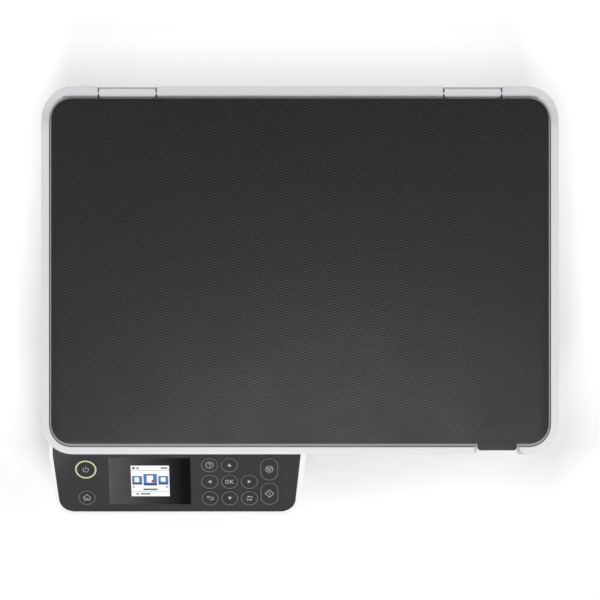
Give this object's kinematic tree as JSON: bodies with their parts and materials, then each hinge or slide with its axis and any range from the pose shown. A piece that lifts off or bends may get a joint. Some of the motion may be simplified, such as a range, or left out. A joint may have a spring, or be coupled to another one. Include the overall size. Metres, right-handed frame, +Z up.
{
  "type": "inkjet printer",
  "caption": "Compact A4 all-in-one inkjet printer with flatbed scanner lid, tilting control panel with small screen and round keys, front paper cassette and output tray.",
  "frame": {"origin": "centre of the floor footprint, on the floor under the feet", "axes": "+X to the right seen from the front, +Y to the back, +Z up; the control panel and paper slot face -Y"},
  "size_m": [0.375, 0.3158, 0.17],
  "materials": {
    "body_white": "fine moulded grain, satin",
    "rim_silver": "satin silver-grey moulding",
    "panel_white": "smooth satin",
    "lid_dark": "fine wavy moulded pattern, satin",
    "fascia_dark": "fine matte grain",
    "key_dark": "smooth matte with printed rings and marks",
    "lcd_black": "high gloss",
    "lcd_panel": "smooth",
    "clear_glass": "polished float glass",
    "steel": "zinc-plated sheet",
    "shaft_chrome": "ground and plated",
    "black_plastic": "moulded, matte",
    "grey_plastic": "moulded, matte",
    "black_rubber": "matte",
    "board_green": "solder mask",
    "motor_can": "drawn steel can",
    "acetal": "moulded acetal",
    "foam_white": "white film over foam",
    "film": "printed film",
    "ink_black": "moulded with labels"
  },
  "bodies": {
    "base": {"base_tray": "body_white", "rubber_feet": "black_rubber", "body_housing": "body_white", "front_frame": "body_white", "rear_cover": "body_white", "paper_frame": "black_plastic", "chassis": "steel", "guide_shaft": "shaft_chrome", "platen": "black_plastic", "cap_base": "black_plastic", "main_board": "board_green", "power_supply": "grey_plastic", "ac_inlet": "black_plastic", "usb_socket": "steel", "carriage_motor": "motor_can", "feed_motor": "motor_can", "drive_belt": "black_rubber", "encoder_strip": "film", "chassis_screws": "steel"},
    "cassette": {"cassette_tray": "grey_plastic"},
    "cassette_front": {"cassette_extension": "body_white"},
    "side_guide_left": {"guide_left": "grey_plastic"},
    "side_guide_right": {"guide_right": "grey_plastic"},
    "tray": {"output_tray": "black_plastic"},
    "tray_end": {"tray_extension": "black_plastic"},
    "sheet_stop": {"paper_stop": "black_plastic"},
    "panel": {"panel_housing": "panel_white", "panel_fascia": "fascia_dark", "lcd_window": "lcd_black", "lcd_module": "lcd_panel", "panel_board": "board_green"},
    "scanner": {"scanner_case": "body_white", "scanner_bezel": "rim_silver", "scanner_glass": "clear_glass", "scan_rod": "shaft_chrome"},
    "sensor": {"scan_head": "black_plastic"},
    "lid": {"lid_shell": "lid_dark", "lid_pad": "foam_white", "lid_hinges": "rim_silver"},
    "print_carriage": {"carriage": "black_plastic", "ink_cartridges": "ink_black"},
    "pulley_motor": {"motor_pulley": "acetal"},
    "pulley_idler": {"idler_pulley": "acetal"},
    "main_roller": {"feed_roller": "black_rubber"},
    "exit_roller": {"eject_roller": "black_rubber"},
    "pinion": {"feed_pinion": "acetal"},
    "pick_arm": {"pickup_arm": "black_plastic"},
    "pick_roller": {"pickup_roller": "black_rubber"},
    "button_power": {"key_power": "key_dark"},
    "button_home": {"key_home": "key_dark"},
    "button_help": {"key_help": "key_dark"},
    "button_up": {"key_up": "key_dark"},
    "button_left": {"key_left": "key_dark"},
    "button_ok": {"key_ok": "key_dark"},
    "button_right": {"key_right": "key_dark"},
    "button_back": {"key_back": "key_dark"},
    "button_down": {"key_down": "key_dark"},
    "button_sides": {"key_sides": "key_dark"},
    "button_stop": {"key_stop": "key_dark"},
    "button_start": {"key_start": "key_dark"}
  },
  "joints": [
    {"name": "cassette_slide", "type": "slide", "parent": "base", "child": "cassette", "axis": [0, -1, 0], "range_m": [0, 0.2]},
    {"name": "cassette_stretch", "type": "slide", "parent": "cassette", "child": "cassette_front", "axis": [0, -1, 0], "range_m": [0, 0.06]},
    {"name": "guide_left_slide", "type": "slide", "parent": "cassette", "child": "side_guide_left", "axis": [1, 0, 0], "range_m": [0, 0.05]},
    {"name": "guide_right_slide", "type": "slide", "parent": "cassette", "child": "side_guide_right", "axis": [-1, 0, 0], "range_m": [0, 0.05]},
    {"name": "tray_slide", "type": "slide", "parent": "base", "child": "tray", "axis": [0, -1, 0], "range_m": [0, 0.08]},
    {"name": "tray_end_slide", "type": "slide", "parent": "tray", "child": "tray_end", "axis": [0, -1, 0], "range_m": [0, 0.07]},
    {"name": "sheet_stop_flip", "type": "hinge", "parent": "tray_end", "child": "sheet_stop", "pos_m": [0, -0.1033, 0.0517], "axis": [1, 0, 0], "range_deg": [0, 75]},
    {"name": "panel_tilt", "type": "hinge", "parent": "base", "child": "panel", "pos_m": [0, -0.104, 0.121], "axis": [1, 0, 0], "range_deg": [-10, 45]},
    {"name": "scanner_lift", "type": "hinge", "parent": "base", "child": "scanner", "pos_m": [0, 0.14, 0.12], "axis": [-1, 0, 0], "range_deg": [0, 30]},
    {"name": "sensor_travel", "type": "slide", "parent": "scanner", "child": "sensor", "axis": [1, 0, 0], "range_m": [0, 0.277]},
    {"name": "lid_lift", "type": "hinge", "parent": "scanner", "child": "lid", "pos_m": [0, 0.15315, 0.1617], "axis": [-1, 0, 0], "range_deg": [0, 80]},
    {"name": "carriage_travel", "type": "slide", "parent": "base", "child": "print_carriage", "axis": [-1, 0, 0], "range_m": [0, 0.257]},
    {"name": "pulley_motor_spin", "type": "hinge", "parent": "base", "child": "pulley_motor", "pos_m": [-0.15, 0.062, 0.099], "axis": [0, 1, 0], "range_deg": [-10, 2200]},
    {"name": "pulley_idler_spin", "type": "hinge", "parent": "base", "child": "pulley_idler", "pos_m": [0.152, 0.062, 0.099], "axis": [0, 1, 0], "range_deg": [-10, 2200]},
    {"name": "main_roller_spin", "type": "hinge", "parent": "base", "child": "main_roller", "pos_m": [0, 0.056, 0.062], "axis": [1, 0, 0], "continuous": true},
    {"name": "exit_roller_spin", "type": "hinge", "parent": "base", "child": "exit_roller", "pos_m": [0, -0.03, 0.06], "axis": [1, 0, 0], "continuous": true},
    {"name": "pinion_spin", "type": "hinge", "parent": "base", "child": "pinion", "pos_m": [0.1777, 0.07207, 0.04285], "axis": [1, 0, 0], "continuous": true},
    {"name": "pick_arm_swing", "type": "hinge", "parent": "base", "child": "pick_arm", "pos_m": [0, 0.074, 0.056], "axis": [-1, 0, 0], "range_deg": [0, 36]},
    {"name": "pick_roller_spin", "type": "hinge", "parent": "pick_arm", "child": "pick_roller", "pos_m": [0, 0.104, 0.055], "axis": [1, 0, 0], "continuous": true},
    {"name": "press_power", "type": "slide", "parent": "panel", "child": "button_power", "axis": [0, 0.5, -0.866], "range_m": [0, 0.0008], "stiffness_N_per_m": 300},
    {"name": "press_home", "type": "slide", "parent": "panel", "child": "button_home", "axis": [0, 0.5, -0.866], "range_m": [0, 0.0008], "stiffness_N_per_m": 300},
    {"name": "press_help", "type": "slide", "parent": "panel", "child": "button_help", "axis": [0, 0.5, -0.866], "range_m": [0, 0.0008], "stiffness_N_per_m": 300},
    {"name": "press_up", "type": "slide", "parent": "panel", "child": "button_up", "axis": [0, 0.5, -0.866], "range_m": [0, 0.0008], "stiffness_N_per_m": 300},
    {"name": "press_left", "type": "slide", "parent": "panel", "child": "button_left", "axis": [0, 0.5, -0.866], "range_m": [0, 0.0008], "stiffness_N_per_m": 300},
    {"name": "press_ok", "type": "slide", "parent": "panel", "child": "button_ok", "axis": [0, 0.5, -0.866], "range_m": [0, 0.0008], "stiffness_N_per_m": 300},
    {"name": "press_right", "type": "slide", "parent": "panel", "child": "button_right", "axis": [0, 0.5, -0.866], "range_m": [0, 0.0008], "stiffness_N_per_m": 300},
    {"name": "press_back", "type": "slide", "parent": "panel", "child": "button_back", "axis": [0, 0.5, -0.866], "range_m": [0, 0.0008], "stiffness_N_per_m": 300},
    {"name": "press_down", "type": "slide", "parent": "panel", "child": "button_down", "axis": [0, 0.5, -0.866], "range_m": [0, 0.0008], "stiffness_N_per_m": 300},
    {"name": "press_sides", "type": "slide", "parent": "panel", "child": "button_sides", "axis": [0, 0.5, -0.866], "range_m": [0, 0.0008], "stiffness_N_per_m": 300},
    {"name": "press_stop", "type": "slide", "parent": "panel", "child": "button_stop", "axis": [0, 0.5, -0.866], "range_m": [0, 0.0008], "stiffness_N_per_m": 300},
    {"name": "press_start", "type": "slide", "parent": "panel", "child": "button_start", "axis": [0, 0.5, -0.866], "range_m": [0, 0.0008], "stiffness_N_per_m": 300}
  ],
  "couplings": [
    {"joint": "guide_right_slide", "follows": "guide_left_slide", "ratio": 1},
    {"joint": "pulley_motor_spin", "follows": "carriage_travel", "rad_per_m": 144.93},
    {"joint": "pulley_idler_spin", "follows": "carriage_travel", "rad_per_m": 144.93},
    {"joint": "pinion_spin", "follows": "main_roller_spin", "ratio": -4.1667},
    {"joint": "exit_roller_spin", "follows": "main_roller_spin", "ratio": 1.2}
  ]
}
